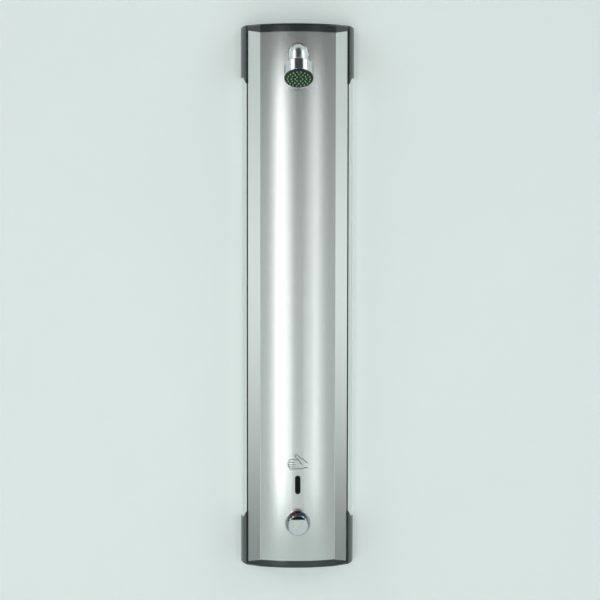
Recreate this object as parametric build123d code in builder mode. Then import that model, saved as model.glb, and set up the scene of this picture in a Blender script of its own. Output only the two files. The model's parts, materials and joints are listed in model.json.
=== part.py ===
from build123d import *
import os
from math import asin, cos, radians, sin, sqrt

# Wall-mounted shower panel, in millimetres.
# X runs across the panel, +Z is up, the wall plane is y = 0 and the room is towards -Y.
# A "depth" is a distance in front of the wall, so a point at depth d has y = -d.
# The origin is on the wall plane, on the centre line, at half the height of the panel.

# Whole panel
PANEL_HEIGHT = 1210.0
RUN = 0.3                  # clearance between pieces that slide together or turn
SLIP = 0.1                 # clearance round a piece that is pushed into a hole

# Side rails and back plate
RAIL_HALF_WIDTH = 125.0
RAIL_STRAIGHT = 14.0       # depth at which the rail starts to curve inwards
RAIL_FRONT_DEPTH = 51.0
RAIL_TAPER = 11.0          # how far the rail leans in between the wall and its front
RAIL_WALL = 2.0
RAIL_FOOT = 10.0
BACK_WALL = 2.0
FIXING_INSET_X = 45.0      # from the rail's side to the fixing hole
FIXING_INSET_Z = 55.0      # from the end of the panel to the fixing hole
FIXING_HOLE_RADIUS = 3.5

# Front cover
COVER_EDGE_DEPTH = 52.0
FACET_WIDTH = 28.0         # flat slope on each side of the convex middle
COVER_RETURN = 14.0        # how far the edge folds back towards the wall
COVER_LIP = 6.0
CREASE_DEPTH = 70.0
COVER_DEPTH = 85.0
COVER_WALL = 2.0
GROOVE_WIDTH = 1.4
GROOVE_DEPTH = 0.8
GAP_WIDTH = 3.0            # shadow gap between cover and rail
SEAL_LENGTH = 8.0

# End caps
CAP_WALL = 2.2
CAP_CLEARANCE = 0.2
CAP_PLATE = 3.0
CAP_EDGE_RADIUS = 4.5
TOP_LIP = 19.0             # how far the cap comes over the cover at the centre
BOTTOM_LIP = 15.5
LIP_RISE = 7.0             # how much shorter the lip is at the gap
TOP_WING = 112.0           # how far the cap runs along the rail at the wall
BOTTOM_WING = 104.0
WING_POINT = 19.0          # how much further the wing runs at its front tip
WING_STEP_DEPTH = 42.0     # depth at which the wing's end turns down to the tip
WING_FALL = 3.0            # slope of the wing's end up to there
WING_CURVE = 5.0
WING_OVERHANG = 0.7        # how far the wing's edge comes over the shadow gap
CAP_SCREW_X = 60.0
CAP_SCREW_DEPTH = 25.0
SCREW_RADIUS = 2.0
SCREW_HEAD_RADIUS = 3.8
SCREW_HEAD = 2.0
SCREW_LENGTH = 12.0
BRACKET_INSET = 33.0        # from the rail's side to the end of the bracket
BRACKET_DEPTH = 40.0
BRACKET_FLANGE = 28.0
SHEET = 2.0                # thickness of every folded bracket

# Spray head: an elbow out of the cover, a ball and a cup that tilts on it
HEAD_BELOW_TOP = 67.0
ELBOW_RADIUS = 22.5
ELBOW_REACH = 27.0         # from the cover to the corner of the centre line
ELBOW_BEND = 26.0
SPRAY_ANGLE = 30.0         # degrees from straight down
PIVOT_DISTANCE = 64.5      # from the corner to the ball's centre
FACE_DISTANCE = 8.5        # from the ball's centre to the front of the face
FACE_RIM = 4.5             # how much of the face moulding shows beyond the cup
FACE_EDGE_RADIUS = 1.8
FACE_SKIRT = 3.2           # skirt of the face moulding inside the cup
FACE_SKIRT_WALL = 1.4
FACE_FIELD_RADIUS = 27.5   # sunk field with the nozzles
DOME_RADIUS = 38.0
DOME_END_RADIUS = 27.5     # where the dome meets the flat shoulder of the cup
CUP_SHOULDER = 2.5
DOME_CLEARANCE = 0.5
CUP_RADIUS = 31.5
CUP_WALL = 3.0
CUP_LEDGE = 2.0            # step inside the cup that the socket seats on
CUP_MOUTH_RADIUS = 14.2
NECK_RADIUS = 7.0
BALL_RADIUS = 12.0
BALL_CLEARANCE = 0.15
BALL_COVER = 8.0           # how far the socket reaches up over the ball
SOCKET_RADIUS = 17.0
SOCKET_FLANGE = 3.0
SOCKET_SEAT = 2.5          # how far behind the ball's centre the socket seats
RING_RADIUS = 0.9
WATER_RADIUS = 4.5
FACE_RECESS = 0.8
FACE_PLATE = 3.8           # leaves room behind the mat for the tilted ball
MAT_THICKNESS = 1.5
NOZZLE_PITCH = 8.2
NOZZLE_RINGS = 3
NOZZLE_RADIUS = 1.5
NOZZLE_TIP_RADIUS = 1.2
NOZZLE_STANDOUT = 1.8
GASKET = 1.0
SHANK_RADIUS = 10.4
SHANK_BORE = 7.0
SHANK_BACK_DEPTH = 50.0
LOCK_NUT_FLATS = 30.0
LOCK_NUT_LENGTH = 8.0
HEAD_BRACKET_DEPTH = 78.0
HEAD_BRACKET_HALF_WIDTH = 30.0
HEAD_BRACKET_HEIGHT = 50.0
FOOT = 15.0

# Pipework behind the cover
PIPE_RADIUS = 7.5
PIPE_WALL = 0.7
PIPE_DEPTH = 30.0
PIPE_SOCKET = 12.0
FITTING_RADIUS = 11.0
CLIP_WIDTH = 12.0
CLIP_WALL = 2.5
CLIP_SPACING = 280.0
CLIPS = 3

# Solenoid valve
VALVE_ABOVE_KNOB = 194.0
VALVE_HALF_LENGTH = 30.0
VALVE_SEAT_RADIUS = 16.0
VALVE_SEAT_DEPTH = 44.0
PLUNGER_TUBE_RADIUS = 6.0
PLUNGER_TUBE_DEPTH = 76.0
PLUNGER_RADIUS = 4.3
PLUNGER_LENGTH = 24.0
PLUNGER_BACK_DEPTH = 36.0
COIL_HALF_WIDTH = 17.0
COIL_LENGTH = 26.0
SPRING_WIRE = 0.6
SPRING_TURNS = 5

# Thermostatic mixer and its two inlets
KNOB_ABOVE_BOTTOM = 103.5
MIXER_RADIUS = 24.0
MIXER_BACK_DEPTH = 12.0
MIXER_FRONT_DEPTH = 64.0
MIXER_ARM = 42.0
MIXER_OUTLET = 44.0
CARTRIDGE_RADIUS = 19.0
CARTRIDGE_NUT_RADIUS = 22.0
CARTRIDGE_NUT_LENGTH = 5.0
STOP_RING_RADIUS = 12.0
STOP_RING_LENGTH = 6.0
SPINDLE_RADIUS = 5.0
SPINDLE_FLAT = 3.6
MIXER_BRACKET_HALF_WIDTH = 22.0
MIXER_BRACKET_HEIGHT = 30.0
INLET_X = 75.0
INLET_RADIUS = 12.5
INLET_LENGTH = 18.0
INLET_PIPE_FIT = 0.1
INLET_BODY_X = 52.0
TAIL_RADIUS = 8.6
TAIL_COLLAR = 10.8
TAIL_COLLAR_LENGTH = 3.0
UNION_FLATS = 30.0
UNION_LENGTH = 14.0
ISOLATOR_X = 63.5
ISOLATOR_RADIUS = 8.0
ISOLATOR_STEM_RADIUS = 4.0
ISOLATOR_BOSS_RADIUS = 7.0
ISOLATOR_BOSS_DEPTH = 45.0
ISOLATOR_STEM_DEPTH = 49.0
ISOLATOR_SLOT = 1.2
ISOLATOR_BORE = 5.0

# Temperature knob
SHROUD_RADIUS = 28.0
SHROUD_FRONT_DEPTH = 96.0
SHROUD_FLOOR_DEPTH = 90.0
SHROUD_WALL = 4.0
SHROUD_CHAMFER = 0.8
KNOB_RADIUS = 23.0
KNOB_FRONT_DEPTH = 127.0
KNOB_SKIRT = 2.5
FLUTES = 17
FLUTE_RADIUS = 3.0
FLUTE_DEPTH = 1.2
FLUTE_GAP = 40.0           # degrees left plain round the pointer
KNOB_HUB_RADIUS = 8.0
KNOB_TOP_WALL = 5.0
FACE_RADIUS = 21.0
FACE_SINK = 2.0
FACE_CHORD = 14.2          # height of the straight edge above the knob's axis
FACE_BEVEL = 1.2
POINTER_WIDTH = 11.0
POINTER_HEIGHT = 3.0
MARK_INSIDE_RADIUS = 25.0
MARK_OUTSIDE_RADIUS = 27.0
STRAIGHT_UP = 90.0         # angle of straight up, in degrees from +X
MARK_START = 13.0          # degrees from straight up
MARK_END = 38.0
MARK_DEPTH = 0.6
KNOB_SCREW_RADIUS = 1.5
KNOB_SCREW_HEAD = 3.0

# Sensor
SENSOR_ABOVE_KNOB = 83.5
WINDOW_WIDTH = 12.3
WINDOW_LENGTH = 41.5
WINDOW_PROUD = 0.4
WINDOW_RIM = 3.0
WINDOW_RIM_THICKNESS = 1.8
SENSOR_WIDTH = 30.0
SENSOR_LENGTH = 62.0
SENSOR_DEPTH = 20.0
SENSOR_BRACKET_HALF_WIDTH = 22.0
SENSOR_BRACKET_HEIGHT = 40.0
DIODE_RADIUS = 2.5
DIODE_LENGTH = 6.0
DIODE_SPACING = 22.0

# Control box and battery pack
BOX_INSIDE_X = 20.0
BOX_CLEARANCE = 8.0        # between a box and the foot of the rail
BOX_HEIGHT = 110.0
BOX_ABOVE_KNOB = 364.0
BOX_DEPTH = 36.0
BOX_WALL = 2.0
BOX_RADIUS = 4.0
LID_THICKNESS = 2.5
BOARD_THICKNESS = 1.6
BOARD_STANDOFF = 6.0
LEAD_RADIUS = 1.8
LEAD_BEND = 12.0

# Sizes worked out from the ones above
HALF_HEIGHT = PANEL_HEIGHT / 2
BODY_HALF = HALF_HEIGHT - CAP_PLATE - RUN
RAIL_FRONT_X = RAIL_HALF_WIDTH - RAIL_TAPER
COVER_HALF_WIDTH = RAIL_FRONT_X - GAP_WIDTH
CREASE_HALF_WIDTH = COVER_HALF_WIDTH - FACET_WIDTH
FIXING_SPACING_X = 2 * (RAIL_HALF_WIDTH - FIXING_INSET_X)
FIXING_SPACING_Z = 2 * (HALF_HEIGHT - FIXING_INSET_Z)
BRACKET_HALF_WIDTH = RAIL_HALF_WIDTH - BRACKET_INSET
HEAD_HEIGHT = HALF_HEIGHT - HEAD_BELOW_TOP
KNOB_HEIGHT = KNOB_ABOVE_BOTTOM - HALF_HEIGHT
VALVE_HEIGHT = KNOB_HEIGHT + VALVE_ABOVE_KNOB
SENSOR_HEIGHT = KNOB_HEIGHT + SENSOR_ABOVE_KNOB
BOX_CENTRE_HEIGHT = KNOB_HEIGHT + BOX_ABOVE_KNOB
BOX_WIDTH = RAIL_FRONT_X - RAIL_FOOT - BOX_CLEARANCE - BOX_INSIDE_X
COVER_BACK_DEPTH = COVER_EDGE_DEPTH - COVER_RETURN
BACK_HALF_WIDTH = RAIL_HALF_WIDTH - RAIL_WALL - RUN
COVER_INSIDE_DEPTH = COVER_DEPTH - COVER_WALL
PIPE_BORE = PIPE_RADIUS - PIPE_WALL
PIPE_FIT = PIPE_RADIUS + SLIP
SPRAY = Vector(0, -sin(radians(SPRAY_ANGLE)), -cos(radians(SPRAY_ANGLE)))
CORNER = Vector(0, -(COVER_DEPTH + ELBOW_REACH), HEAD_HEIGHT)
PIVOT = CORNER + SPRAY * PIVOT_DISTANCE
SPRAY_AXIS = Axis(PIVOT, SPRAY)
SPRAY_PROFILE = Plane(origin=PIVOT, x_dir=(1, 0, 0), z_dir=Vector(1, 0, 0).cross(SPRAY))
SPRAY_FACE = Plane(origin=PIVOT, x_dir=(1, 0, 0), z_dir=SPRAY)
KNOB_BACK_DEPTH = SHROUD_FLOOR_DEPTH + RUN
SENSOR_FRONT_DEPTH = COVER_INSIDE_DEPTH - WINDOW_RIM_THICKNESS
SENSOR_BACK_DEPTH = SENSOR_FRONT_DEPTH - SENSOR_DEPTH

os.makedirs("parts", exist_ok=True)


def facing(depth, height=0.0, across=0.0):
    """Plane at a depth, looking into the room: its x is world X and its y is world Z."""
    return Plane(origin=(across, -depth, height), x_dir=(1, 0, 0), z_dir=(0, -1, 0))


def rising(height, across=0.0, depth=0.0):
    """Level plane at a height, looking up."""
    return Plane(origin=(across, -depth, height), x_dir=(1, 0, 0), z_dir=(0, 0, 1))


def sideways(across, depth, height):
    """Upright plane looking along +X: its x is world Y and its y is world Z."""
    return Plane(origin=(across, -depth, height), x_dir=(0, 1, 0), z_dir=(1, 0, 0))


def rod(plane, radius, length, mode=Mode.ADD):
    """Round bar or round hole that starts on a plane, as one step of the open part."""
    with BuildSketch(plane) as disc:
        Circle(radius)
    extrude(disc.sketch, amount=length, mode=mode)


def hex_bar(plane, flats, length):
    """Hexagonal bar that starts on a plane."""
    with BuildSketch(plane) as hexagon:
        RegularPolygon(flats / 2, 6, major_radius=False)
    extrude(hexagon.sketch, amount=length)


def block(plane, width, height, length, radius=0.0, mode=Mode.ADD):
    """Rectangular bar that starts on a plane, with rounded long edges if a radius is given."""
    with BuildSketch(plane) as outline:
        if radius > 0:
            RectangleRounded(width, height, radius)
        else:
            Rectangle(width, height)
    extrude(outline.sketch, amount=length, mode=mode)


def save(piece, name):
    """Label a finished piece and write it out under its own name."""
    piece.part.label = name
    export_step(piece.part, "parts/" + name + ".step")


# Plan sections


def casing_outline(grow):
    """Plan of the whole casing, filled from the wall to the front and grown outwards."""
    with BuildSketch() as plan:
        with BuildLine():
            Line((0, 0), (RAIL_HALF_WIDTH, 0))
            Line((RAIL_HALF_WIDTH, 0), (RAIL_HALF_WIDTH, -RAIL_STRAIGHT))
            TangentArc((RAIL_HALF_WIDTH, -RAIL_STRAIGHT), (RAIL_FRONT_X, -RAIL_FRONT_DEPTH), tangent=(0, -1))
            Line((RAIL_FRONT_X, -RAIL_FRONT_DEPTH), (COVER_HALF_WIDTH, -COVER_EDGE_DEPTH))
            Line((COVER_HALF_WIDTH, -COVER_EDGE_DEPTH), (CREASE_HALF_WIDTH, -CREASE_DEPTH))
            mirror(about=Plane.YZ)
            ThreePointArc(
                (CREASE_HALF_WIDTH, -CREASE_DEPTH), (0, -COVER_DEPTH), (-CREASE_HALF_WIDTH, -CREASE_DEPTH)
            )
        make_face()
        offset(amount=grow, kind=Kind.INTERSECTION)
        Rectangle(4 * RAIL_HALF_WIDTH, RAIL_HALF_WIDTH, align=(Align.CENTER, Align.MIN), mode=Mode.SUBTRACT)
    return plan.sketch


def cover_outline():
    """Plan of the front cover, filled between its two returns."""
    with BuildSketch() as plan:
        with BuildLine():
            Polyline(
                (0, -COVER_BACK_DEPTH),
                (COVER_HALF_WIDTH, -COVER_BACK_DEPTH),
                (COVER_HALF_WIDTH, -COVER_EDGE_DEPTH),
                (CREASE_HALF_WIDTH, -CREASE_DEPTH),
            )
            mirror(about=Plane.YZ)
            ThreePointArc(
                (CREASE_HALF_WIDTH, -CREASE_DEPTH), (0, -COVER_DEPTH), (-CREASE_HALF_WIDTH, -CREASE_DEPTH)
            )
        make_face()
    return plan.sketch


def behind_cover(height, half_length, grow=0.0):
    """Everything behind the cover's face round a height, to trim what sits on the face."""
    with BuildPart() as trimmer:
        with BuildSketch(Plane.XY.offset(height - half_length)):
            add(cover_outline())
            if grow > 0:
                offset(amount=grow, kind=Kind.INTERSECTION)
        extrude(amount=2 * half_length)
    return trimmer.part


# Casing


with BuildPart() as back_plate:
    with BuildSketch(facing(0)):
        Rectangle(2 * BACK_HALF_WIDTH, 2 * BODY_HALF)
        with GridLocations(FIXING_SPACING_X, FIXING_SPACING_Z, 2, 2):
            Circle(FIXING_HOLE_RADIUS, mode=Mode.SUBTRACT)
        with Locations((-INLET_X, KNOB_HEIGHT), (INLET_X, KNOB_HEIGHT)):
            Circle(INLET_RADIUS + RUN, mode=Mode.SUBTRACT)
    extrude(amount=BACK_WALL)
save(back_plate, "back_plate")


def side_rail(side):
    """Hollow extrusion with a skirt beside the back plate and a foot on its front."""
    with BuildPart() as rail:
        with BuildSketch(Plane.XY.offset(-BODY_HALF)):
            with BuildLine():
                Polyline(
                    (side * RAIL_FRONT_X, -RAIL_FRONT_DEPTH),
                    (side * RAIL_FRONT_X, -BACK_WALL),
                    (side * RAIL_HALF_WIDTH, -BACK_WALL),
                    (side * RAIL_HALF_WIDTH, -RAIL_STRAIGHT),
                )
                TangentArc(
                    (side * RAIL_HALF_WIDTH, -RAIL_STRAIGHT),
                    (side * RAIL_FRONT_X, -RAIL_FRONT_DEPTH),
                    tangent=(0, -1),
                )
            make_face()
            offset(amount=-RAIL_WALL, kind=Kind.INTERSECTION, mode=Mode.SUBTRACT)
            with Locations((side * (RAIL_HALF_WIDTH - RAIL_WALL / 2), -BACK_WALL)):
                Rectangle(RAIL_WALL, BACK_WALL, align=(Align.CENTER, Align.MIN))
            with Locations((side * (RAIL_FRONT_X - RAIL_FOOT / 2), -BACK_WALL)):
                Rectangle(RAIL_FOOT, RAIL_WALL, align=(Align.CENTER, Align.MAX))
        extrude(amount=2 * BODY_HALF)
    return rail


save(side_rail(-1), "left_side_rail")
save(side_rail(1), "right_side_rail")

with BuildPart() as front_cover:
    with BuildSketch(Plane.XY.offset(-BODY_HALF)):
        add(cover_outline())
        offset(amount=-COVER_WALL, kind=Kind.INTERSECTION, mode=Mode.SUBTRACT)
        with Locations((0, -COVER_BACK_DEPTH)):
            Rectangle(
                2 * (COVER_HALF_WIDTH - COVER_WALL - COVER_LIP), 2 * COVER_WALL + RUN, mode=Mode.SUBTRACT
            )
        with Locations((-CREASE_HALF_WIDTH, -CREASE_DEPTH), (CREASE_HALF_WIDTH, -CREASE_DEPTH)):
            Rectangle(GROOVE_WIDTH, 2 * GROOVE_DEPTH, mode=Mode.SUBTRACT)
    extrude(amount=2 * BODY_HALF)
    with BuildSketch(facing(COVER_EDGE_DEPTH)):
        with Locations((0, HEAD_HEIGHT)):
            Circle(SHANK_RADIUS + RUN)
        with Locations((0, KNOB_HEIGHT)):
            Circle(STOP_RING_RADIUS + 1)
        with Locations((0, SENSOR_HEIGHT)):
            SlotOverall(WINDOW_LENGTH + 2 * SLIP, WINDOW_WIDTH + 2 * SLIP, rotation=90)
    extrude(amount=COVER_DEPTH, mode=Mode.SUBTRACT)
save(front_cover, "front_cover")


def seal_strip(side):
    """Rubber strip in the gap between the cover's return and the rail, with a round nose."""
    nose = GAP_WIDTH / 2
    middle = side * (COVER_HALF_WIDTH + nose)
    with BuildPart() as strip:
        with BuildSketch(Plane.XY.offset(-BODY_HALF)):
            with Locations((middle, -COVER_BACK_DEPTH)):
                Rectangle(GAP_WIDTH, SEAL_LENGTH - nose, align=(Align.CENTER, Align.MAX))
            with Locations((middle, -(COVER_BACK_DEPTH + SEAL_LENGTH - nose))):
                Circle(nose)
        extrude(amount=2 * BODY_HALF)
    return strip


save(seal_strip(-1), "left_seal_strip")
save(seal_strip(1), "right_seal_strip")


def end_cap(side, lip, wing):
    """Moulded cap over one end: a plate, a lip over the cover and a wing down each rail."""
    end = side * HALF_HEIGHT
    reach = wing + WING_POINT
    wing_edge = RAIL_FRONT_X - WING_OVERHANG
    tip_depth = COVER_EDGE_DEPTH + CAP_WALL + CAP_CLEARANCE
    beyond = 2 * reach
    with BuildPart() as cap:
        with BuildSketch(Plane.XY.offset(end)):
            add(casing_outline(CAP_CLEARANCE + CAP_WALL))
        extrude(amount=-side * reach)
        rim = cap.faces().sort_by(Axis.Z)[-1 if side > 0 else 0].edges().sort_by(Axis.Y)[:-1]
        fillet(rim, CAP_EDGE_RADIUS)
        with BuildSketch(Plane.XY.offset(end - side * CAP_PLATE)):
            add(casing_outline(CAP_CLEARANCE))
        extrude(amount=-side * reach, mode=Mode.SUBTRACT)
        # The front is open below the lip, and the lip is shorter over the flat facets.
        with BuildSketch(facing(-RAIL_FRONT_DEPTH, end)):
            with BuildLine():
                Polyline(
                    (0, -side * lip),
                    (CREASE_HALF_WIDTH, -side * lip),
                    (wing_edge, -side * (lip - LIP_RISE)),
                    (wing_edge, -side * beyond),
                    (0, -side * beyond),
                )
                mirror(about=Plane.YZ)
            make_face()
        extrude(amount=2 * COVER_DEPTH, mode=Mode.SUBTRACT)
        # Each wing ends nearly level and then curves down to a tip at its front edge.
        with BuildSketch(sideways(-2 * RAIL_HALF_WIDTH, 0, end)):
            with BuildLine():
                FilletPolyline(
                    (RAIL_HALF_WIDTH, -side * wing),
                    (0, -side * wing),
                    (-WING_STEP_DEPTH, -side * (wing + WING_FALL)),
                    (-tip_depth, -side * reach),
                    (-2 * COVER_DEPTH, -side * reach),
                    (-2 * COVER_DEPTH, -side * beyond),
                    (RAIL_HALF_WIDTH, -side * beyond),
                    radius=(RUN, WING_CURVE, RUN, RUN, RUN),
                )
                Line((RAIL_HALF_WIDTH, -side * beyond), (RAIL_HALF_WIDTH, -side * wing))
            make_face()
        extrude(amount=4 * RAIL_HALF_WIDTH, mode=Mode.SUBTRACT)
        with BuildSketch(Plane.XY.offset(end)):
            with Locations((-CAP_SCREW_X, -CAP_SCREW_DEPTH), (CAP_SCREW_X, -CAP_SCREW_DEPTH)):
                Circle(SCREW_RADIUS + SLIP)
        extrude(amount=-side * CAP_PLATE, mode=Mode.SUBTRACT)
        with BuildSketch(Plane.XY.offset(end)):
            with Locations((-CAP_SCREW_X, -CAP_SCREW_DEPTH), (CAP_SCREW_X, -CAP_SCREW_DEPTH)):
                Circle(SCREW_HEAD_RADIUS + SLIP)
        extrude(amount=-side * SCREW_HEAD, mode=Mode.SUBTRACT)
    return cap


save(end_cap(1, TOP_LIP, TOP_WING), "top_cap")
save(end_cap(-1, BOTTOM_LIP, BOTTOM_WING), "bottom_cap")


def end_bracket(side):
    """Folded angle on the back plate that the end cap is screwed to."""
    top = side * (HALF_HEIGHT - CAP_PLATE)
    with BuildPart() as bracket:
        with BuildSketch(sideways(-BRACKET_HALF_WIDTH, 0, top)):
            with BuildLine():
                Polyline(
                    (-BACK_WALL, 0),
                    (-BRACKET_DEPTH, 0),
                    (-BRACKET_DEPTH, -side * SHEET),
                    (-BACK_WALL - SHEET, -side * SHEET),
                    (-BACK_WALL - SHEET, -side * BRACKET_FLANGE),
                    (-BACK_WALL, -side * BRACKET_FLANGE),
                    close=True,
                )
            make_face()
        extrude(amount=2 * BRACKET_HALF_WIDTH)
        with BuildSketch(Plane.XY.offset(top)):
            with Locations((-CAP_SCREW_X, -CAP_SCREW_DEPTH), (CAP_SCREW_X, -CAP_SCREW_DEPTH)):
                Circle(SCREW_RADIUS + SLIP)
        extrude(amount=-side * SHEET, mode=Mode.SUBTRACT)
    return bracket


save(end_bracket(1), "top_end_bracket")
save(end_bracket(-1), "bottom_end_bracket")

with BuildPart() as cap_screws:
    for side in (-1, 1):
        for across in (-CAP_SCREW_X, CAP_SCREW_X):
            head_plane = Plane.XY.offset(side * HALF_HEIGHT)
            head_plane.origin += Vector(across, -CAP_SCREW_DEPTH, 0)
            rod(head_plane, SCREW_HEAD_RADIUS, -side * SCREW_HEAD)
            rod(head_plane, SCREW_RADIUS, -side * SCREW_LENGTH)
save(cap_screws, "cap_screws")


def hat_bracket(height, length, half_width, seat_depth, foot):
    """Folded bracket on the back plate, with a raised seat between its two feet."""
    with BuildPart() as bracket:
        with BuildSketch(Plane.XY.offset(height - length / 2)):
            with BuildLine():
                Polyline(
                    (0, -seat_depth),
                    (half_width, -seat_depth),
                    (half_width, -BACK_WALL - SHEET),
                    (half_width + foot, -BACK_WALL - SHEET),
                    (half_width + foot, -BACK_WALL),
                    (half_width - SHEET, -BACK_WALL),
                    (half_width - SHEET, SHEET - seat_depth),
                    (0, SHEET - seat_depth),
                )
                mirror(about=Plane.YZ)
            make_face()
        extrude(amount=length)
    return bracket


# Spray head


with BuildPart() as head_gasket:
    rod(facing(COVER_EDGE_DEPTH, HEAD_HEIGHT), ELBOW_RADIUS - RUN, ELBOW_RADIUS * 2)
    add(behind_cover(HEAD_HEIGHT, 2 * ELBOW_RADIUS, GASKET), mode=Mode.INTERSECT)
    add(behind_cover(HEAD_HEIGHT, 2 * ELBOW_RADIUS), mode=Mode.SUBTRACT)
    rod(facing(COVER_EDGE_DEPTH, HEAD_HEIGHT), SHANK_RADIUS + RUN, COVER_DEPTH, mode=Mode.SUBTRACT)
save(head_gasket, "head_gasket")

with BuildPart() as head_elbow:
    with BuildLine(Plane.YZ):
        elbow_end = CORNER + SPRAY * PIVOT_DISTANCE
        FilletPolyline(
            (-COVER_EDGE_DEPTH, HEAD_HEIGHT),
            (CORNER.Y, CORNER.Z),
            (elbow_end.Y, elbow_end.Z),
            radius=ELBOW_BEND,
        )
    with BuildSketch(facing(COVER_EDGE_DEPTH, HEAD_HEIGHT)):
        Circle(ELBOW_RADIUS)
    sweep()
    add(behind_cover(HEAD_HEIGHT, 2 * ELBOW_RADIUS, GASKET), mode=Mode.SUBTRACT)
    # The rim is hollowed to a sphere about the ball, so that the cup can tilt under it.
    with Locations(PIVOT):
        Sphere(DOME_RADIUS + DOME_CLEARANCE, mode=Mode.SUBTRACT)
    rod(facing(SHANK_BACK_DEPTH, HEAD_HEIGHT), SHANK_RADIUS, COVER_DEPTH + ELBOW_REACH - SHANK_BACK_DEPTH)
    with BuildSketch(SPRAY_FACE.offset(-PIVOT_DISTANCE)):
        Circle(NECK_RADIUS)
    extrude(amount=PIVOT_DISTANCE)
    with Locations(PIVOT):
        Sphere(BALL_RADIUS)
    # The ball is cut flat on the outlet side.
    rod(SPRAY_FACE, 2 * BALL_RADIUS, 2 * BALL_RADIUS, mode=Mode.SUBTRACT)
    rod(facing(SHANK_BACK_DEPTH, HEAD_HEIGHT), SHANK_BORE, COVER_DEPTH + ELBOW_REACH - SHANK_BACK_DEPTH,
        mode=Mode.SUBTRACT)
    rod(SPRAY_FACE.offset(-PIVOT_DISTANCE), WATER_RADIUS, PIVOT_DISTANCE, mode=Mode.SUBTRACT)
save(head_elbow, "head_elbow")


def dome_depth(radius, at):
    """How far behind the ball's centre a sphere about it lies, at a distance from the axis."""
    return sqrt(radius**2 - at**2)


INNER_DOME = DOME_RADIUS - CUP_WALL
CUP_BORE = CUP_RADIUS - CUP_WALL
CUP_THROAT = CUP_BORE - CUP_LEDGE
CUP_RIM = FACE_DISTANCE - FACE_RIM
SEAT = -SOCKET_SEAT

with BuildPart() as head_cup:
    with BuildSketch(SPRAY_PROFILE):
        with BuildLine():
            half_angle = (asin(CUP_MOUTH_RADIUS / DOME_RADIUS) + asin(DOME_END_RADIUS / DOME_RADIUS)) / 2
            ThreePointArc(
                (CUP_MOUTH_RADIUS, -dome_depth(DOME_RADIUS, CUP_MOUTH_RADIUS)),
                (DOME_RADIUS * sin(half_angle), -DOME_RADIUS * cos(half_angle)),
                (DOME_END_RADIUS, -dome_depth(DOME_RADIUS, DOME_END_RADIUS)),
            )
            FilletPolyline(
                (DOME_END_RADIUS, -dome_depth(DOME_RADIUS, DOME_END_RADIUS)),
                (CUP_RADIUS, -dome_depth(DOME_RADIUS, DOME_END_RADIUS)),
                (CUP_RADIUS, CUP_RIM),
                radius=CUP_SHOULDER,
            )
            Polyline(
                (CUP_RADIUS, CUP_RIM),
                (CUP_BORE, CUP_RIM),
                (CUP_BORE, SEAT),
                (CUP_THROAT, SEAT),
                (CUP_THROAT, -dome_depth(INNER_DOME, CUP_THROAT)),
            )
            inner_angle = (asin(CUP_MOUTH_RADIUS / INNER_DOME) + asin(CUP_THROAT / INNER_DOME)) / 2
            ThreePointArc(
                (CUP_THROAT, -dome_depth(INNER_DOME, CUP_THROAT)),
                (INNER_DOME * sin(inner_angle), -INNER_DOME * cos(inner_angle)),
                (CUP_MOUTH_RADIUS, -dome_depth(INNER_DOME, CUP_MOUTH_RADIUS)),
            )
            Line(
                (CUP_MOUTH_RADIUS, -dome_depth(INNER_DOME, CUP_MOUTH_RADIUS)),
                (CUP_MOUTH_RADIUS, -dome_depth(DOME_RADIUS, CUP_MOUTH_RADIUS)),
            )
        make_face()
    revolve(axis=SPRAY_AXIS)
    rim_edge = head_cup.edges().filter_by(GeomType.CIRCLE).group_by(SPRAY_AXIS)[-1].sort_by(SortBy.RADIUS)[-1]
    fillet(rim_edge, CUP_WALL / 4)
save(head_cup, "head_cup")

CAVITY = BALL_RADIUS + BALL_CLEARANCE

with BuildPart() as ball_socket:
    with BuildSketch(SPRAY_PROFILE):
        with BuildLine():
            cavity_angle = (asin(dome_depth(CAVITY, BALL_COVER) / CAVITY) + radians(90)) / 2
            ThreePointArc(
                (dome_depth(CAVITY, BALL_COVER), -BALL_COVER),
                (CAVITY * sin(cavity_angle), -CAVITY * cos(cavity_angle)),
                (CAVITY, 0),
            )
            Polyline(
                (CAVITY, 0),
                (CAVITY, SEAT + SOCKET_FLANGE),
                (CUP_BORE - SLIP, SEAT + SOCKET_FLANGE),
                (CUP_BORE - SLIP, SEAT),
                (SOCKET_RADIUS, SEAT),
                (SOCKET_RADIUS, -BALL_COVER),
                (dome_depth(CAVITY, BALL_COVER), -BALL_COVER),
            )
        make_face()
    revolve(axis=SPRAY_AXIS)
    with BuildSketch(SPRAY_FACE.offset(SEAT)):
        Circle(CAVITY + 2 * RING_RADIUS)
    extrude(amount=2 * RING_RADIUS, mode=Mode.SUBTRACT)
save(ball_socket, "ball_socket")

with BuildPart() as socket_ring:
    with BuildSketch(SPRAY_PROFILE):
        with Locations((CAVITY + RING_RADIUS, SEAT + RING_RADIUS)):
            Circle(RING_RADIUS)
    revolve(axis=SPRAY_AXIS)
save(socket_ring, "socket_ring")

PLATE_FRONT = FACE_DISTANCE - FACE_RECESS
PLATE_BACK = PLATE_FRONT - FACE_PLATE


def nozzle_places():
    """Centres of the nozzles in the plane of the face, ring by ring."""
    places = []
    for ring in range(1, NOZZLE_RINGS + 1):
        for step in range(6 * ring):
            angle = radians(360 * step / (6 * ring))
            places.append(Vector(ring * NOZZLE_PITCH * cos(angle), ring * NOZZLE_PITCH * sin(angle)))
    return places


SKIRT_RADIUS = CUP_BORE - SLIP
SKIRT_BORE = SKIRT_RADIUS - FACE_SKIRT_WALL

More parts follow.
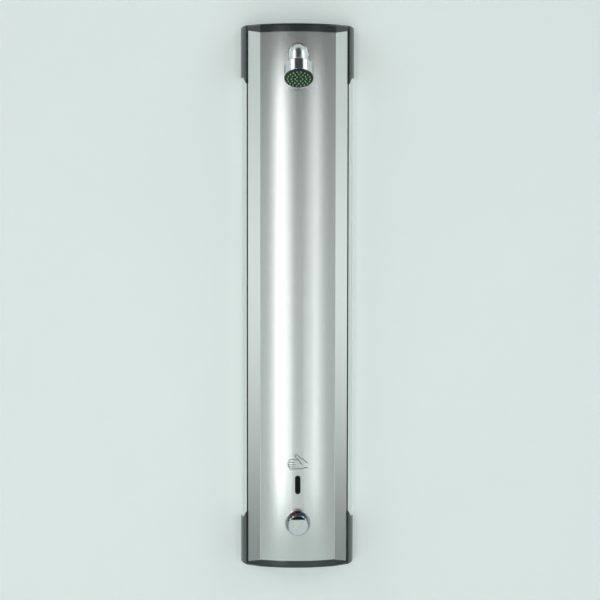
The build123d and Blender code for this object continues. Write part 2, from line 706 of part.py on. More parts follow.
with BuildPart() as nozzle_plate:
    rod(SPRAY_FACE.offset(CUP_RIM), CUP_RADIUS - SLIP, FACE_RIM)
    front_edge = nozzle_plate.edges().filter_by(GeomType.CIRCLE).group_by(SPRAY_AXIS)[-1]
    fillet(front_edge, FACE_EDGE_RADIUS)
    rod(SPRAY_FACE.offset(CUP_RIM), SKIRT_RADIUS, -FACE_SKIRT)
    rod(SPRAY_FACE.offset(PLATE_BACK), SKIRT_BORE, -2 * FACE_SKIRT, mode=Mode.SUBTRACT)
    rod(SPRAY_FACE.offset(PLATE_FRONT), FACE_FIELD_RADIUS, FACE_RIM, mode=Mode.SUBTRACT)
    with BuildSketch(SPRAY_FACE.offset(PLATE_BACK)):
        with Locations(nozzle_places()):
            Circle(NOZZLE_RADIUS + SLIP)
    extrude(amount=2 * FACE_PLATE, mode=Mode.SUBTRACT)
save(nozzle_plate, "nozzle_plate")

with BuildPart() as nozzle_mat:
    with BuildSketch(SPRAY_FACE.offset(PLATE_BACK)):
        Circle(SKIRT_BORE - SLIP)
    extrude(amount=-MAT_THICKNESS)
    with BuildSketch(SPRAY_FACE.offset(PLATE_BACK)):
        with Locations(nozzle_places()):
            Circle(NOZZLE_RADIUS)
    extrude(amount=FACE_PLATE)
    with BuildSketch(SPRAY_FACE.offset(PLATE_FRONT)):
        with Locations(nozzle_places()):
            Circle(NOZZLE_TIP_RADIUS)
    extrude(amount=NOZZLE_STANDOUT)
save(nozzle_mat, "nozzle_mat")

with BuildPart() as flow_regulator:
    rod(facing(SHANK_BACK_DEPTH, HEAD_HEIGHT), SHANK_BORE - SLIP, PIPE_SOCKET)
    with BuildSketch(facing(SHANK_BACK_DEPTH, HEAD_HEIGHT)):
        with PolarLocations(SHANK_BORE / 2, 6):
            Circle(1)
    extrude(amount=PIPE_SOCKET, mode=Mode.SUBTRACT)
save(flow_regulator, "flow_regulator")

NUT_FRONT_DEPTH = HEAD_BRACKET_DEPTH - SHEET

head_bracket = hat_bracket(
    HEAD_HEIGHT, HEAD_BRACKET_HEIGHT, HEAD_BRACKET_HALF_WIDTH, HEAD_BRACKET_DEPTH, FOOT
)
with head_bracket:
    rod(facing(COVER_EDGE_DEPTH, HEAD_HEIGHT), SHANK_RADIUS + RUN, COVER_DEPTH, mode=Mode.SUBTRACT)
save(head_bracket, "head_bracket")

with BuildPart() as head_lock_nut:
    hex_bar(facing(NUT_FRONT_DEPTH - LOCK_NUT_LENGTH, HEAD_HEIGHT), LOCK_NUT_FLATS, LOCK_NUT_LENGTH)
    rod(facing(COVER_EDGE_DEPTH, HEAD_HEIGHT), SHANK_RADIUS + SLIP, COVER_DEPTH, mode=Mode.SUBTRACT)
save(head_lock_nut, "head_lock_nut")

# Riser


FITTING_FRONT_DEPTH = NUT_FRONT_DEPTH - LOCK_NUT_LENGTH - 2 * SHEET
FITTING_BOTTOM = HEAD_HEIGHT - SHANK_RADIUS - 2 * PIPE_SOCKET

with BuildPart() as riser_elbow:
    rod(facing(PIPE_DEPTH - FITTING_RADIUS, HEAD_HEIGHT), SHANK_RADIUS + PIPE_WALL + SHEET,
        FITTING_FRONT_DEPTH - PIPE_DEPTH + FITTING_RADIUS)
    rod(rising(FITTING_BOTTOM, 0, PIPE_DEPTH), FITTING_RADIUS, HEAD_HEIGHT - FITTING_BOTTOM)
    rod(facing(PIPE_DEPTH, HEAD_HEIGHT), PIPE_BORE, SHANK_BACK_DEPTH - PIPE_DEPTH, mode=Mode.SUBTRACT)
    rod(facing(SHANK_BACK_DEPTH, HEAD_HEIGHT), SHANK_RADIUS + SLIP, COVER_DEPTH, mode=Mode.SUBTRACT)
    rod(rising(FITTING_BOTTOM, 0, PIPE_DEPTH), PIPE_BORE, HEAD_HEIGHT - FITTING_BOTTOM, mode=Mode.SUBTRACT)
    rod(rising(FITTING_BOTTOM, 0, PIPE_DEPTH), PIPE_FIT, PIPE_SOCKET, mode=Mode.SUBTRACT)
save(riser_elbow, "riser_elbow")

VALVE_TOP = VALVE_HEIGHT + VALVE_HALF_LENGTH
VALVE_BOTTOM = VALVE_HEIGHT - VALVE_HALF_LENGTH
MIXER_TOP = KNOB_HEIGHT + MIXER_OUTLET


def straight_pipe(low, high):
    """Copper pipe up the middle of the panel, between two heights."""
    with BuildPart() as pipe:
        rod(rising(low, 0, PIPE_DEPTH), PIPE_RADIUS, high - low)
        rod(rising(low, 0, PIPE_DEPTH), PIPE_BORE, high - low, mode=Mode.SUBTRACT)
    return pipe


save(straight_pipe(VALVE_TOP - PIPE_SOCKET, FITTING_BOTTOM + PIPE_SOCKET), "riser_pipe")
save(straight_pipe(MIXER_TOP - PIPE_SOCKET, VALVE_BOTTOM + PIPE_SOCKET), "mixed_water_pipe")

LOWEST_CLIP = VALVE_TOP + 5 * CLIP_WIDTH

with BuildPart() as pipe_clips:
    for clip in range(CLIPS):
        with BuildSketch(Plane.XY.offset(LOWEST_CLIP + clip * CLIP_SPACING)):
            with Locations((0, -PIPE_DEPTH)):
                Circle(PIPE_FIT + CLIP_WALL)
            with Locations((0, -BACK_WALL)):
                Rectangle(CLIP_WIDTH, PIPE_DEPTH - BACK_WALL, align=(Align.CENTER, Align.MAX))
                Rectangle(2 * CLIP_WIDTH, CLIP_WALL, align=(Align.CENTER, Align.MAX))
            with Locations((0, -PIPE_DEPTH)):
                Circle(PIPE_FIT, mode=Mode.SUBTRACT)
                Rectangle(PIPE_RADIUS, 2 * PIPE_RADIUS, align=(Align.CENTER, Align.MAX), mode=Mode.SUBTRACT)
        extrude(amount=CLIP_WIDTH)
save(pipe_clips, "pipe_clips")

# Solenoid valve


PLUNGER_FRONT_DEPTH = PLUNGER_BACK_DEPTH + PLUNGER_LENGTH
TUBE_END_DEPTH = PLUNGER_TUBE_DEPTH - SHEET

with BuildPart() as solenoid_body:
    rod(rising(VALVE_BOTTOM, 0, PIPE_DEPTH), FITTING_RADIUS, 2 * VALVE_HALF_LENGTH)
    rod(facing(PIPE_DEPTH - FITTING_RADIUS, VALVE_HEIGHT), VALVE_SEAT_RADIUS,
        VALVE_SEAT_DEPTH - PIPE_DEPTH + FITTING_RADIUS)
    rod(facing(VALVE_SEAT_DEPTH, VALVE_HEIGHT), PLUNGER_TUBE_RADIUS, PLUNGER_TUBE_DEPTH - VALVE_SEAT_DEPTH)
    rod(rising(VALVE_BOTTOM, 0, PIPE_DEPTH), PIPE_FIT, PIPE_SOCKET, mode=Mode.SUBTRACT)
    rod(rising(VALVE_TOP - PIPE_SOCKET, 0, PIPE_DEPTH), PIPE_FIT, PIPE_SOCKET, mode=Mode.SUBTRACT)
    rod(rising(VALVE_BOTTOM, 0, PIPE_DEPTH), WATER_RADIUS, 2 * VALVE_HALF_LENGTH, mode=Mode.SUBTRACT)
    rod(facing(PLUNGER_BACK_DEPTH, VALVE_HEIGHT), PLUNGER_RADIUS + RUN, TUBE_END_DEPTH - PLUNGER_BACK_DEPTH,
        mode=Mode.SUBTRACT)
save(solenoid_body, "solenoid_body")

with BuildPart() as solenoid_coil:
    block(facing(VALVE_SEAT_DEPTH, VALVE_HEIGHT), 2 * COIL_HALF_WIDTH, 2 * COIL_HALF_WIDTH, COIL_LENGTH,
          BOX_RADIUS)
    rod(facing(VALVE_SEAT_DEPTH, VALVE_HEIGHT), PLUNGER_TUBE_RADIUS + SLIP, COIL_LENGTH, mode=Mode.SUBTRACT)
save(solenoid_coil, "solenoid_coil")

with BuildPart() as solenoid_plunger:
    rod(facing(PLUNGER_BACK_DEPTH, VALVE_HEIGHT), PLUNGER_RADIUS, PLUNGER_LENGTH)
    chamfer(solenoid_plunger.edges().filter_by(GeomType.CIRCLE), SPRING_WIRE)
save(solenoid_plunger, "solenoid_plunger")

SPRING_RADIUS = PLUNGER_RADIUS - SPRING_WIRE
SPRING_LENGTH = TUBE_END_DEPTH - PLUNGER_FRONT_DEPTH - 2 * SPRING_WIRE

with BuildPart() as plunger_spring:
    with BuildLine() as coil_line:
        Helix(
            pitch=SPRING_LENGTH / SPRING_TURNS,
            height=SPRING_LENGTH,
            radius=SPRING_RADIUS,
            center=(0, -(PLUNGER_FRONT_DEPTH + SPRING_WIRE), VALVE_HEIGHT),
            direction=(0, -1, 0),
        )
    with BuildSketch(Plane(origin=coil_line.line @ 0, z_dir=coil_line.line % 0)):
        Circle(SPRING_WIRE)
    sweep(is_frenet=True)
save(plunger_spring, "plunger_spring")

# Thermostatic mixer


with BuildPart() as mixer_body:
    rod(facing(MIXER_BACK_DEPTH, KNOB_HEIGHT), MIXER_RADIUS, MIXER_FRONT_DEPTH - MIXER_BACK_DEPTH)
    rod(sideways(-MIXER_ARM, PIPE_DEPTH, KNOB_HEIGHT), FITTING_RADIUS, 2 * MIXER_ARM)
    rod(rising(KNOB_HEIGHT, 0, PIPE_DEPTH), FITTING_RADIUS, MIXER_OUTLET)
    rod(sideways(-MIXER_ARM, PIPE_DEPTH, KNOB_HEIGHT), ISOLATOR_BORE, 2 * MIXER_ARM, mode=Mode.SUBTRACT)
    rod(rising(KNOB_HEIGHT, 0, PIPE_DEPTH), ISOLATOR_BORE, MIXER_OUTLET, mode=Mode.SUBTRACT)
    rod(rising(MIXER_TOP - PIPE_SOCKET, 0, PIPE_DEPTH), PIPE_FIT, PIPE_SOCKET, mode=Mode.SUBTRACT)
    rod(facing(PIPE_DEPTH - FITTING_RADIUS, KNOB_HEIGHT), CARTRIDGE_RADIUS + SLIP, MIXER_FRONT_DEPTH,
        mode=Mode.SUBTRACT)
save(mixer_body, "mixer_body")

CARTRIDGE_BACK_DEPTH = PIPE_DEPTH - FITTING_RADIUS
NUT_TOP_DEPTH = MIXER_FRONT_DEPTH + CARTRIDGE_NUT_LENGTH
SPINDLE_HOLE = SPINDLE_RADIUS + RUN
KNOB_TOP_DEPTH = KNOB_FRONT_DEPTH - FACE_SINK
KNOB_CAVITY_DEPTH = KNOB_TOP_DEPTH - KNOB_TOP_WALL

with BuildPart() as thermostatic_cartridge:
    rod(facing(CARTRIDGE_BACK_DEPTH, KNOB_HEIGHT), CARTRIDGE_RADIUS, MIXER_FRONT_DEPTH - CARTRIDGE_BACK_DEPTH)
    rod(facing(MIXER_FRONT_DEPTH, KNOB_HEIGHT), 2 * SPINDLE_RADIUS, NUT_TOP_DEPTH - MIXER_FRONT_DEPTH)
    rod(facing(PIPE_DEPTH, KNOB_HEIGHT), SPINDLE_HOLE, MIXER_FRONT_DEPTH, mode=Mode.SUBTRACT)
save(thermostatic_cartridge, "thermostatic_cartridge")

with BuildPart() as cartridge_nut:
    hex_bar(facing(MIXER_FRONT_DEPTH, KNOB_HEIGHT), 2 * CARTRIDGE_NUT_RADIUS, CARTRIDGE_NUT_LENGTH)
    rod(facing(MIXER_FRONT_DEPTH, KNOB_HEIGHT), 2 * SPINDLE_RADIUS + SLIP, CARTRIDGE_NUT_LENGTH,
        mode=Mode.SUBTRACT)
save(cartridge_nut, "cartridge_nut")

with BuildPart() as temperature_stop_ring:
    rod(facing(NUT_TOP_DEPTH, KNOB_HEIGHT), STOP_RING_RADIUS, STOP_RING_LENGTH)
    rod(facing(NUT_TOP_DEPTH, KNOB_HEIGHT), SPINDLE_HOLE, STOP_RING_LENGTH, mode=Mode.SUBTRACT)
save(temperature_stop_ring, "temperature_stop_ring")

with BuildPart() as knob_spindle:
    rod(facing(PIPE_DEPTH + SPINDLE_RADIUS, KNOB_HEIGHT), SPINDLE_RADIUS,
        KNOB_CAVITY_DEPTH - PIPE_DEPTH - SPINDLE_RADIUS)
    with BuildSketch(facing(KNOB_BACK_DEPTH, KNOB_HEIGHT)):
        with Locations((0, SPINDLE_FLAT)):
            Rectangle(2 * SPINDLE_RADIUS, SPINDLE_RADIUS, align=(Align.CENTER, Align.MIN))
    extrude(amount=KNOB_FRONT_DEPTH, mode=Mode.SUBTRACT)
    rod(facing(KNOB_CAVITY_DEPTH, KNOB_HEIGHT), KNOB_SCREW_RADIUS, -PIPE_SOCKET, mode=Mode.SUBTRACT)
save(knob_spindle, "knob_spindle")

mixer_bracket = hat_bracket(
    KNOB_HEIGHT, MIXER_BRACKET_HEIGHT, MIXER_BRACKET_HALF_WIDTH, MIXER_BACK_DEPTH, FOOT
)
save(mixer_bracket, "mixer_bracket")


def inlet_valve(side):
    """Stop valve from a pipe out of the wall to the mixer's arm, with a ball inside."""
    wall_x = side * INLET_X
    into_arm = side * (MIXER_ARM - INLET_X)
    with BuildPart() as valve:
        rod(facing(0, KNOB_HEIGHT, wall_x), INLET_RADIUS, PIPE_DEPTH + INLET_RADIUS)
        rod(sideways(wall_x, PIPE_DEPTH, KNOB_HEIGHT), INLET_RADIUS, side * (INLET_BODY_X - INLET_X))
        rod(sideways(wall_x, PIPE_DEPTH, KNOB_HEIGHT), TAIL_RADIUS, into_arm)
        rod(sideways(side * MIXER_ARM, PIPE_DEPTH, KNOB_HEIGHT), TAIL_COLLAR, side * TAIL_COLLAR_LENGTH)
        rod(facing(PIPE_DEPTH, KNOB_HEIGHT, side * ISOLATOR_X), ISOLATOR_BOSS_RADIUS,
            ISOLATOR_BOSS_DEPTH - PIPE_DEPTH)
        rod(sideways(wall_x, PIPE_DEPTH, KNOB_HEIGHT), ISOLATOR_BORE, into_arm, mode=Mode.SUBTRACT)
        rod(facing(0, KNOB_HEIGHT, wall_x), ISOLATOR_BORE, PIPE_DEPTH, mode=Mode.SUBTRACT)
        rod(facing(0, KNOB_HEIGHT, wall_x), PIPE_RADIUS + INLET_PIPE_FIT, INLET_LENGTH, mode=Mode.SUBTRACT)
        with Locations((side * ISOLATOR_X, -PIPE_DEPTH, KNOB_HEIGHT)):
            Sphere(ISOLATOR_RADIUS + RUN, mode=Mode.SUBTRACT)
        rod(facing(PIPE_DEPTH, KNOB_HEIGHT, side * ISOLATOR_X), ISOLATOR_STEM_RADIUS + SLIP,
            ISOLATOR_BOSS_DEPTH, mode=Mode.SUBTRACT)
    return valve


save(inlet_valve(-1), "hot_inlet_valve")
save(inlet_valve(1), "cold_inlet_valve")


def isolator_ball(side):
    """Ball with a cross bore and a slotted stem that a screwdriver turns."""
    across = side * ISOLATOR_X
    stem_axis = Axis((across, -PIPE_DEPTH, KNOB_HEIGHT), (0, -1, 0))
    stem_length = ISOLATOR_STEM_DEPTH - PIPE_DEPTH
    shoulder = sqrt(ISOLATOR_RADIUS**2 - ISOLATOR_STEM_RADIUS**2)
    with BuildPart() as ball:
        with BuildSketch(Plane(origin=stem_axis.position, x_dir=(0, 0, 1), z_dir=(1, 0, 0))):
            with BuildLine():
                ThreePointArc((0, -ISOLATOR_RADIUS), (ISOLATOR_RADIUS, 0), (ISOLATOR_STEM_RADIUS, shoulder))
                Polyline(
                    (ISOLATOR_STEM_RADIUS, shoulder),
                    (ISOLATOR_STEM_RADIUS, stem_length),
                    (0, stem_length),
                    (0, -ISOLATOR_RADIUS),
                )
            make_face()
        revolve(axis=stem_axis)
        rod(sideways(across - ISOLATOR_RADIUS, PIPE_DEPTH, KNOB_HEIGHT), ISOLATOR_BORE - SLIP,
            2 * ISOLATOR_RADIUS, mode=Mode.SUBTRACT)
        block(facing(ISOLATOR_STEM_DEPTH - 2 * ISOLATOR_SLOT, KNOB_HEIGHT, across), 3 * ISOLATOR_STEM_RADIUS,
              ISOLATOR_SLOT, 3 * ISOLATOR_SLOT, mode=Mode.SUBTRACT)
    return ball


save(isolator_ball(-1), "hot_isolator_ball")
save(isolator_ball(1), "cold_isolator_ball")

with BuildPart() as inlet_union_nuts:
    for side in (-1, 1):
        nut_start = MIXER_ARM + TAIL_COLLAR_LENGTH + 2 * SHEET
        nut_plane = sideways(side * nut_start, PIPE_DEPTH, KNOB_HEIGHT)
        hex_bar(nut_plane, UNION_FLATS, -side * UNION_LENGTH)
        rod(nut_plane, TAIL_RADIUS + SLIP, -side * UNION_LENGTH, mode=Mode.SUBTRACT)
        rod(sideways(side * (MIXER_ARM + TAIL_COLLAR_LENGTH), PIPE_DEPTH, KNOB_HEIGHT), FITTING_RADIUS + SLIP,
            -side * UNION_LENGTH, mode=Mode.SUBTRACT)
save(inlet_union_nuts, "inlet_union_nuts")

# Temperature knob


def ring_sector(inside, outside, start, end):
    """Part of a ring between two angles from straight up, clockwise as seen from the room."""
    with BuildSketch() as sector:
        with BuildLine():
            CenterArc((0, 0), outside, STRAIGHT_UP - end, end - start)
            CenterArc((0, 0), inside, STRAIGHT_UP - end, end - start)
            Line(inside_point(inside, start), inside_point(outside, start))
            Line(inside_point(inside, end), inside_point(outside, end))
        make_face()
    return sector.sketch


def inside_point(radius, angle):
    """Point at a radius and an angle from straight up, clockwise."""
    return (radius * sin(radians(angle)), radius * cos(radians(angle)))


HOT_SECTOR = ring_sector(MARK_INSIDE_RADIUS, MARK_OUTSIDE_RADIUS, -MARK_END, -MARK_START)
COLD_SECTOR = ring_sector(MARK_INSIDE_RADIUS, MARK_OUTSIDE_RADIUS, MARK_START, MARK_END)

with BuildPart() as knob_shroud:
    rod(facing(COVER_EDGE_DEPTH, KNOB_HEIGHT), SHROUD_RADIUS, SHROUD_FRONT_DEPTH - COVER_EDGE_DEPTH)
    chamfer(knob_shroud.faces().sort_by(Axis.Y)[0].edges(), SHROUD_CHAMFER)
    add(behind_cover(KNOB_HEIGHT, 2 * SHROUD_RADIUS), mode=Mode.SUBTRACT)
    rod(facing(COVER_EDGE_DEPTH, KNOB_HEIGHT), STOP_RING_RADIUS + 1, SHROUD_FRONT_DEPTH, mode=Mode.SUBTRACT)
    rod(facing(SHROUD_FLOOR_DEPTH, KNOB_HEIGHT), SHROUD_RADIUS - SHROUD_WALL, SHROUD_FRONT_DEPTH,
        mode=Mode.SUBTRACT)
    with BuildSketch(facing(SHROUD_FRONT_DEPTH - MARK_DEPTH, KNOB_HEIGHT)):
        add(HOT_SECTOR)
        add(COLD_SECTOR)
    extrude(amount=MARK_DEPTH, mode=Mode.SUBTRACT)
save(knob_shroud, "knob_shroud")

with BuildPart() as hot_mark:
    with BuildSketch(facing(SHROUD_FRONT_DEPTH - MARK_DEPTH, KNOB_HEIGHT)):
        add(HOT_SECTOR)
    extrude(amount=MARK_DEPTH)
save(hot_mark, "hot_mark")

with BuildPart() as cold_mark:
    with BuildSketch(facing(SHROUD_FRONT_DEPTH - MARK_DEPTH, KNOB_HEIGHT)):
        add(COLD_SECTOR)
    extrude(amount=MARK_DEPTH)
save(cold_mark, "cold_mark")

with BuildPart() as knob_body:
    rod(facing(KNOB_BACK_DEPTH, KNOB_HEIGHT), KNOB_RADIUS, KNOB_FRONT_DEPTH - KNOB_BACK_DEPTH)
    chamfer(knob_body.faces().sort_by(Axis.Y)[0].edges(), FACE_BEVEL)
    with BuildSketch(facing(SHROUD_FRONT_DEPTH + KNOB_SKIRT, KNOB_HEIGHT)):
        with PolarLocations(
            KNOB_RADIUS + FLUTE_RADIUS - FLUTE_DEPTH,
            FLUTES,
            start_angle=STRAIGHT_UP + FLUTE_GAP / 2,
            angular_range=360 - FLUTE_GAP,
            endpoint=True,
        ):
            Circle(FLUTE_RADIUS)
    extrude(amount=KNOB_FRONT_DEPTH, mode=Mode.SUBTRACT)
    rod(facing(KNOB_BACK_DEPTH, KNOB_HEIGHT), KNOB_RADIUS - KNOB_SKIRT, KNOB_CAVITY_DEPTH - KNOB_BACK_DEPTH,
        mode=Mode.SUBTRACT)
    rod(facing(KNOB_BACK_DEPTH, KNOB_HEIGHT), KNOB_HUB_RADIUS, KNOB_CAVITY_DEPTH - KNOB_BACK_DEPTH)
    with BuildSketch(facing(KNOB_BACK_DEPTH, KNOB_HEIGHT)):
        Circle(SPINDLE_RADIUS + SLIP)
        with Locations((0, SPINDLE_FLAT + SLIP)):
            Rectangle(3 * SPINDLE_RADIUS, SPINDLE_RADIUS, align=(Align.CENTER, Align.MIN), mode=Mode.SUBTRACT)
    extrude(amount=KNOB_CAVITY_DEPTH - KNOB_BACK_DEPTH, mode=Mode.SUBTRACT)
    rod(facing(KNOB_TOP_DEPTH, KNOB_HEIGHT), FACE_RADIUS + SLIP, FACE_SINK, mode=Mode.SUBTRACT)
    rod(facing(KNOB_CAVITY_DEPTH, KNOB_HEIGHT), KNOB_SCREW_RADIUS + SLIP, KNOB_TOP_WALL, mode=Mode.SUBTRACT)
    rod(facing(KNOB_TOP_DEPTH, KNOB_HEIGHT), KNOB_SCREW_HEAD + SLIP, -KNOB_TOP_WALL / 2, mode=Mode.SUBTRACT)
    block(facing(SHROUD_FRONT_DEPTH + KNOB_SKIRT, KNOB_HEIGHT + KNOB_RADIUS), POINTER_WIDTH, POINTER_HEIGHT,
          KNOB_FRONT_DEPTH, mode=Mode.SUBTRACT)
save(knob_body, "knob_body")

with BuildPart() as knob_pointer:
    with BuildSketch(facing(SHROUD_FRONT_DEPTH + KNOB_SKIRT, KNOB_HEIGHT)):
        with Locations((0, KNOB_RADIUS)):
            Rectangle(POINTER_WIDTH - 2 * SLIP, POINTER_HEIGHT)
        Circle(KNOB_RADIUS, mode=Mode.INTERSECT)
    extrude(amount=KNOB_FRONT_DEPTH - SHROUD_FRONT_DEPTH - KNOB_SKIRT)
    chamfer(knob_pointer.faces().sort_by(Axis.Y)[0].edges().sort_by(Axis.Z)[-1], FACE_BEVEL)
save(knob_pointer, "knob_pointer")

with BuildPart() as knob_face_plate:
    with BuildSketch(facing(KNOB_TOP_DEPTH, KNOB_HEIGHT)):
        Circle(FACE_RADIUS)
        with Locations((0, FACE_CHORD)):
            Rectangle(2 * FACE_RADIUS, FACE_RADIUS, align=(Align.CENTER, Align.MIN), mode=Mode.SUBTRACT)
    extrude(amount=FACE_SINK)
    chamfer(knob_face_plate.faces().sort_by(Axis.Y)[0].edges().filter_by(GeomType.LINE), FACE_BEVEL)
save(knob_face_plate, "knob_face_plate")

with BuildPart() as knob_insert:
    with BuildSketch(facing(KNOB_TOP_DEPTH, KNOB_HEIGHT)):
        with Locations((0, FACE_CHORD + SLIP)):
            Rectangle(2 * FACE_RADIUS, FACE_RADIUS, align=(Align.CENTER, Align.MIN))
        Circle(FACE_RADIUS, mode=Mode.INTERSECT)
    extrude(amount=FACE_SINK - FACE_BEVEL / 2)
save(knob_insert, "knob_insert")

with BuildPart() as knob_screw:
    rod(facing(KNOB_TOP_DEPTH, KNOB_HEIGHT), KNOB_SCREW_HEAD, -KNOB_TOP_WALL / 2)
    rod(facing(KNOB_TOP_DEPTH, KNOB_HEIGHT), KNOB_SCREW_RADIUS - SLIP, -(KNOB_TOP_WALL + PIPE_SOCKET - SHEET))
save(knob_screw, "knob_screw")

# Sensor


with BuildPart() as sensor_window:
    with BuildSketch(facing(SENSOR_FRONT_DEPTH, SENSOR_HEIGHT)):
        SlotOverall(WINDOW_LENGTH, WINDOW_WIDTH, rotation=90)
    extrude(amount=COVER_DEPTH + WINDOW_PROUD - SENSOR_FRONT_DEPTH)
    fillet(sensor_window.faces().sort_by(Axis.Y)[0].edges(), WINDOW_PROUD * 0.9)
    with BuildSketch(facing(SENSOR_FRONT_DEPTH, SENSOR_HEIGHT)):
        SlotOverall(WINDOW_LENGTH + 2 * WINDOW_RIM, WINDOW_WIDTH + 2 * WINDOW_RIM, rotation=90)
    extrude(amount=WINDOW_RIM_THICKNESS - RUN)
save(sensor_window, "sensor_window")

DIODE_HEIGHTS = (SENSOR_HEIGHT - DIODE_SPACING / 2, SENSOR_HEIGHT + DIODE_SPACING / 2)

with BuildPart() as sensor_housing:
    block(facing(SENSOR_BACK_DEPTH, SENSOR_HEIGHT), SENSOR_WIDTH, SENSOR_LENGTH, SENSOR_DEPTH, BOX_RADIUS)
    for height in DIODE_HEIGHTS:
        rod(facing(SENSOR_FRONT_DEPTH, height), DIODE_RADIUS + SLIP, -DIODE_LENGTH - SLIP, mode=Mode.SUBTRACT)
save(sensor_housing, "sensor_housing")

with BuildPart() as infrared_diodes:
    for height in DIODE_HEIGHTS:
        rod(facing(SENSOR_FRONT_DEPTH - DIODE_LENGTH, height), DIODE_RADIUS, DIODE_LENGTH - DIODE_RADIUS)
        with Locations((0, -(SENSOR_FRONT_DEPTH - DIODE_RADIUS), height)):
            Sphere(DIODE_RADIUS)
save(infrared_diodes, "infrared_diodes")

save(
    hat_bracket(SENSOR_HEIGHT, SENSOR_BRACKET_HEIGHT, SENSOR_BRACKET_HALF_WIDTH, SENSOR_BACK_DEPTH, FOOT),
    "sensor_bracket",
)

# Control box and battery pack


BOX_MIDDLE_X = BOX_INSIDE_X + BOX_WIDTH / 2
BOX_FRONT_DEPTH = BACK_WALL + BOX_DEPTH

with BuildPart() as control_box:
    block(facing(BACK_WALL, BOX_CENTRE_HEIGHT, -BOX_MIDDLE_X), BOX_WIDTH, BOX_HEIGHT, BOX_DEPTH, BOX_RADIUS)
    block(facing(BACK_WALL + BOX_WALL, BOX_CENTRE_HEIGHT, -BOX_MIDDLE_X), BOX_WIDTH - 2 * BOX_WALL,
          BOX_HEIGHT - 2 * BOX_WALL, BOX_DEPTH, BOX_RADIUS - BOX_WALL, mode=Mode.SUBTRACT)
    with BuildSketch(facing(BACK_WALL + BOX_WALL, BOX_CENTRE_HEIGHT, -BOX_MIDDLE_X)):
        with GridLocations(BOX_WIDTH - 6 * BOX_RADIUS, BOX_HEIGHT - 6 * BOX_RADIUS, 2, 2):
            Circle(BOX_RADIUS)
    extrude(amount=BOARD_STANDOFF)
save(control_box, "control_box")

with BuildPart() as circuit_board:
    block(facing(BACK_WALL + BOX_WALL + BOARD_STANDOFF, BOX_CENTRE_HEIGHT, -BOX_MIDDLE_X),
          BOX_WIDTH - 2 * BOX_WALL - 2 * RUN, BOX_HEIGHT - 2 * BOX_WALL - 2 * RUN, BOARD_THICKNESS,
          BOX_RADIUS - BOX_WALL)
save(circuit_board, "circuit_board")

with BuildPart() as control_box_lid:
    block(facing(BOX_FRONT_DEPTH, BOX_CENTRE_HEIGHT, -BOX_MIDDLE_X), BOX_WIDTH, BOX_HEIGHT, LID_THICKNESS,
          BOX_RADIUS)
    block(facing(BOX_FRONT_DEPTH, BOX_CENTRE_HEIGHT, -BOX_MIDDLE_X), BOX_WIDTH - 2 * BOX_WALL - 2 * SLIP,
          BOX_HEIGHT - 2 * BOX_WALL - 2 * SLIP, -LID_THICKNESS, BOX_RADIUS - BOX_WALL)
save(control_box_lid, "control_box_lid")

with BuildPart() as battery_pack:
    block(facing(BACK_WALL, BOX_CENTRE_HEIGHT, BOX_MIDDLE_X), BOX_WIDTH, BOX_HEIGHT, BOX_DEPTH, BOX_RADIUS)
    fillet(battery_pack.faces().sort_by(Axis.Y)[0].edges(), BOX_RADIUS / 2)
save(battery_pack, "battery_pack")

BOX_BOTTOM = BOX_CENTRE_HEIGHT - BOX_HEIGHT / 2
LEAD_DEPTH = BACK_WALL + BOX_DEPTH / 2


def lead(*points):
    """Round cable that runs straight between points, with a bend at each."""
    with BuildPart() as cable:
        with BuildLine() as route:
            FilletPolyline(*points, radius=LEAD_BEND)
        with BuildSketch(Plane(origin=route.line @ 0, z_dir=route.line % 0)):
            Circle(LEAD_RADIUS)
        sweep()
    return cable


SENSOR_TOP = SENSOR_HEIGHT + SENSOR_LENGTH / 2
SENSOR_LEAD_DEPTH = SENSOR_BACK_DEPTH + SENSOR_DEPTH / 2
SENSOR_LEAD_X = -BOX_MIDDLE_X
VALVE_LEAD_X = -(BOX_MIDDLE_X - BOX_WIDTH / 4)
COIL_DEPTH = VALVE_SEAT_DEPTH + COIL_LENGTH / 2

save(
    lead(
        (0, -SENSOR_LEAD_DEPTH, SENSOR_TOP),
        (0, -SENSOR_LEAD_DEPTH, SENSOR_TOP + 2 * LEAD_BEND),
        (SENSOR_LEAD_X, -LEAD_DEPTH, SENSOR_TOP + 3 * LEAD_BEND),
        (SENSOR_LEAD_X, -LEAD_DEPTH, BOX_BOTTOM),
    ),
    "sensor_lead",
)
save(
    lead(
        (-COIL_HALF_WIDTH, -COIL_DEPTH, VALVE_HEIGHT),
        (VALVE_LEAD_X, -COIL_DEPTH, VALVE_HEIGHT),
        (VALVE_LEAD_X, -LEAD_DEPTH, VALVE_HEIGHT + 3 * LEAD_BEND),
        (VALVE_LEAD_X, -LEAD_DEPTH, BOX_BOTTOM),
    ),
    "solenoid_lead",
)
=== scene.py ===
import json
import math

